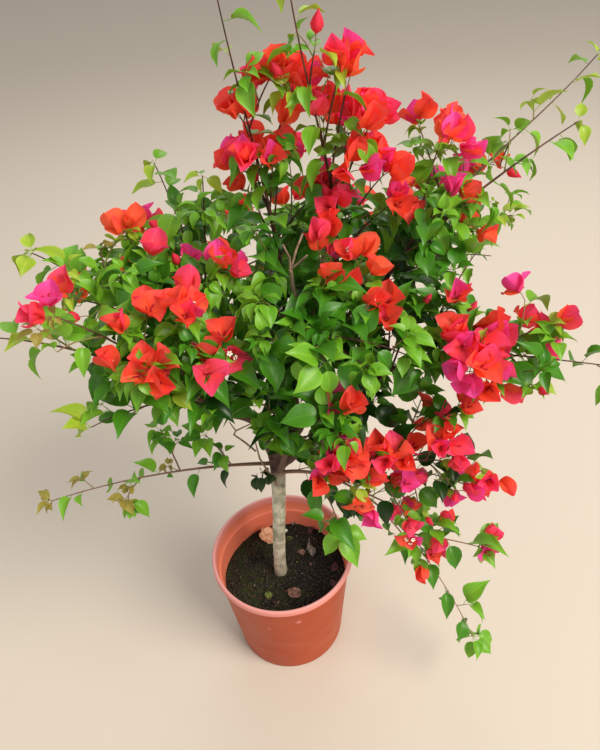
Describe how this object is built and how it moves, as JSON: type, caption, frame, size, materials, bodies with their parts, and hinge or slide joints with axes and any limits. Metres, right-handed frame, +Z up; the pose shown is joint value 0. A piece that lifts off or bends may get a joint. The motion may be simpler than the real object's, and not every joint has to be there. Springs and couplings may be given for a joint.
{
  "type": "potted bougainvillea bush",
  "caption": "Bougainvillea bush with a short bare trunk, an open crown of leafy shoots and red bracts, and long arching sprays, growing in a tapered plastic nursery pot.",
  "frame": {"origin": "centre of the pot's flat underside, on the ground", "axes": "+Z up; -Y towards the side that was pictured; +X to the right as seen from that side"},
  "size_m": [0.8127, 0.5862, 1.1561],
  "materials": {
    "pot_plastic": "satin",
    "potting_mix": "rough",
    "bark": "rough",
    "young_bark": "satin",
    "foliage": "satin"
  },
  "bodies": {
    "root": {"pot": "pot_plastic", "soil": "potting_mix", "trunk": "bark", "bough_leader": "young_bark", "bough_left": "young_bark", "bough_back": "young_bark", "bough_front": "young_bark", "bough_right": "young_bark", "bough_centre": "young_bark", "bough_right_high": "young_bark", "bough_left_front": "young_bark", "bough_back_left": "young_bark", "bough_back_right": "young_bark", "bough_right_low": "young_bark", "bough_front_top": "young_bark", "spray_low_left": "foliage", "spray_low_right": "foliage", "foliage_left_front": "foliage", "foliage_left": "foliage", "foliage_back_left": "foliage", "foliage_centre": "foliage", "foliage_leader": "foliage", "foliage_right_high": "foliage", "foliage_back_right": "foliage", "foliage_right": "foliage", "foliage_right_low": "foliage", "foliage_front": "foliage", "foliage_front_top": "foliage", "foliage_back": "foliage"}
  },
  "joints": []
}
